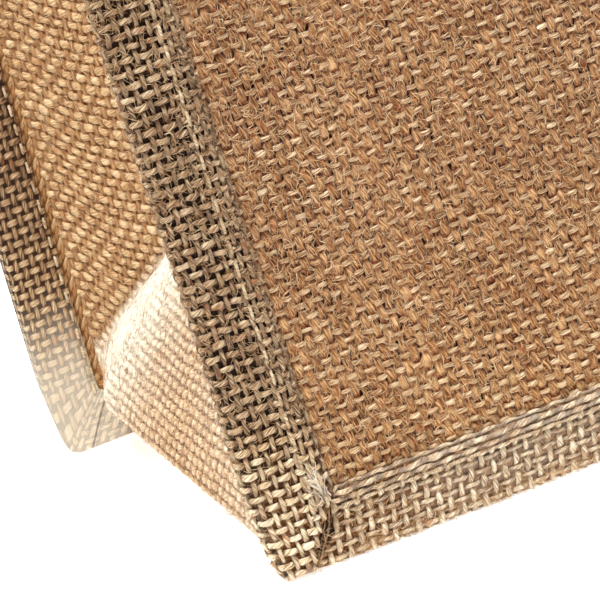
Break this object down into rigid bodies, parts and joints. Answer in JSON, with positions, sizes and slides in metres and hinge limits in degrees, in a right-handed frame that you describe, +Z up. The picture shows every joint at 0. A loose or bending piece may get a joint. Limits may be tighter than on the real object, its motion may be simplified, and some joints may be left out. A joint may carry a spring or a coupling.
{
  "type": "gusseted burlap sack",
  "caption": "Open box-shaped burlap sack: two panels and a folded side gusset, joined by outside seams that are bound in jute tape with mitred lower corners.",
  "frame": {"origin": "on the floor, in the middle of the sack's footprint", "axes": "+X to the right along the front panel, +Y from the front panel to the back panel, +Z up"},
  "size_m": [0.4004, 0.1857, 0.3501],
  "materials": {
    "burlap_panel": "plain-weave burlap, straw weft over orange-brown warp, fuzzy",
    "burlap_gusset": "plain-weave burlap, straw weft over tan warp",
    "jute_tape": "coarse open-weave greyish jute tape, folded over the seam"
  },
  "bodies": {
    "root": {"front_panel": "burlap_panel", "back_panel": "burlap_panel", "gusset": "burlap_gusset", "front_binding": "jute_tape", "back_binding": "jute_tape"}
  },
  "joints": []
}
